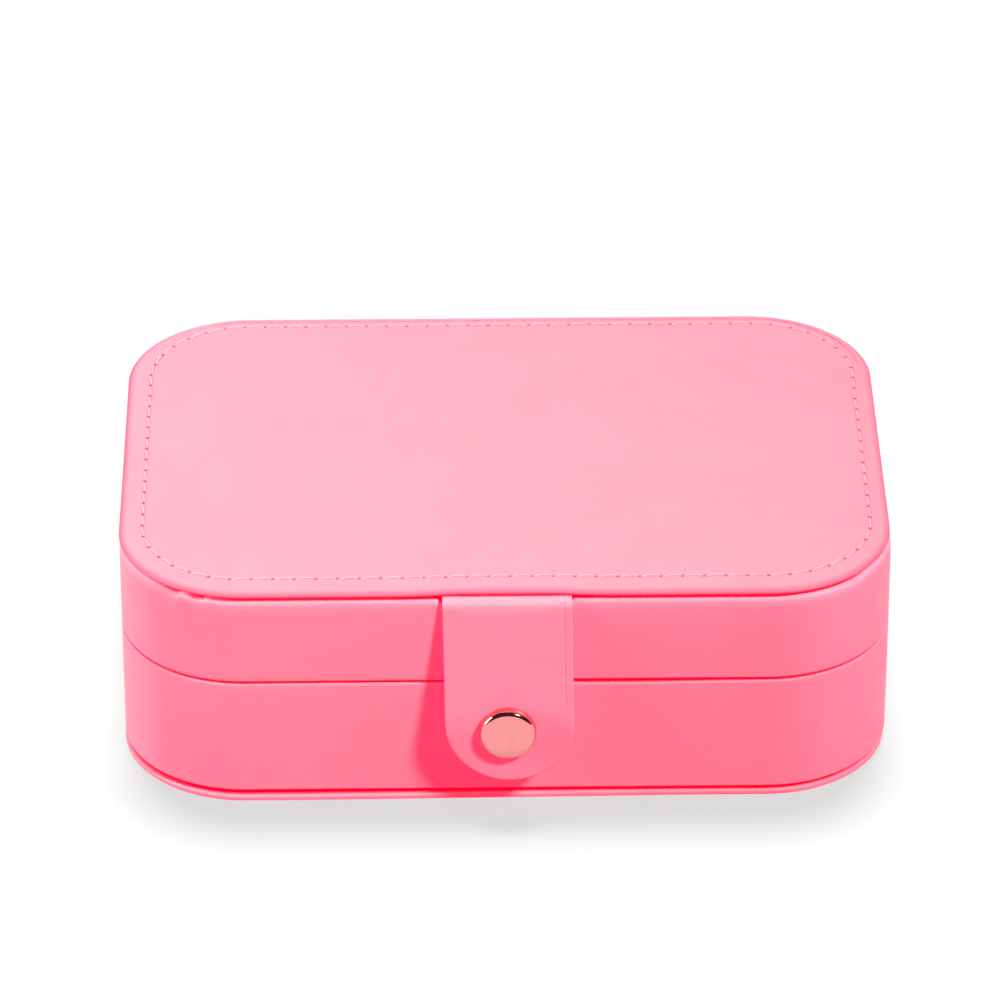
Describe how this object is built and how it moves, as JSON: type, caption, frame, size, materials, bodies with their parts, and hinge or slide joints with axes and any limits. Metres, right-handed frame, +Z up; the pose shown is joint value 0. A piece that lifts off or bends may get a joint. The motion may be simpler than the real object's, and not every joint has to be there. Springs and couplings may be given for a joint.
{
  "type": "jewellery case",
  "caption": "Small leather-covered jewellery case with rounded corners, a hinged lid closed by a press-stud strap, ring rolls, lift-out dividers, a lid mirror and necklace hooks.",
  "frame": {"origin": "centre of the underside, on the surface that the case stands on", "axes": "+X to the right along the length, -Y to the front where the strap hangs, +Z up"},
  "size_m": [0.158, 0.1188, 0.05],
  "materials": {
    "leather": "smooth matt grained leather",
    "velvet": "short-pile velvet",
    "board": "grey-brown pressed board",
    "foam": "soft foam",
    "nickel": "polished, rose-toned",
    "mirror": "silvered glass",
    "elastic": "woven elastic"
  },
  "bodies": {
    "base": {"bottom_cover": "leather", "bottom_board": "board", "base_wall_cover": "leather", "base_wall_core": "board", "base_lining": "velvet", "snap_stud": "nickel", "snap_stud_washer": "nickel", "ring_bed": "foam", "ring_roll_1": "velvet", "ring_roll_2": "velvet", "ring_roll_3": "velvet", "ring_roll_4": "velvet", "ring_roll_5": "velvet", "ring_roll_6": "velvet", "ring_roll_7": "velvet", "partition_left": "velvet", "partition_right": "velvet", "spine_lower": "leather"},
    "lid": {"top_cover": "leather", "top_pad": "foam", "top_board": "board", "lid_wall_cover": "leather", "lid_wall_core": "board", "lid_lining": "velvet", "spine_upper": "leather", "mirror_frame": "leather", "mirror_glass": "mirror", "mirror_backing": "board", "hook_bar": "velvet", "necklace_hook_1": "nickel", "necklace_hook_2": "nickel", "necklace_hook_3": "nickel", "necklace_hook_4": "nickel", "pocket_panel": "velvet", "pocket_pouch": "velvet", "pocket_elastic": "elastic", "strap_root": "leather"},
    "strap": {"strap_outer": "leather", "strap_lining": "leather", "snap_cap": "nickel", "snap_socket": "nickel"},
    "divider_left_front": {"divider_left_front": "velvet"},
    "divider_left_rear": {"divider_left_rear": "velvet"},
    "divider_right": {"divider_right": "velvet"}
  },
  "joints": [
    {"name": "lid_hinge", "type": "hinge", "parent": "base", "child": "lid", "pos_m": [0, 0.0566, 0.0284], "axis": [-1, 0, 0], "range_deg": [0, 180]},
    {"name": "strap_hinge", "type": "hinge", "parent": "lid", "child": "strap", "pos_m": [0, -0.0562, 0.0481], "axis": [-1, 0, 0], "range_deg": [0, 95]},
    {"name": "divider_left_front_lift", "type": "slide", "parent": "base", "child": "divider_left_front", "axis": [0, 0, 1], "range_m": [0, 0.018]},
    {"name": "divider_left_rear_lift", "type": "slide", "parent": "base", "child": "divider_left_rear", "axis": [0, 0, 1], "range_m": [0, 0.018]},
    {"name": "divider_right_lift", "type": "slide", "parent": "base", "child": "divider_right", "axis": [0, 0, 1], "range_m": [0, 0.018]}
  ]
}
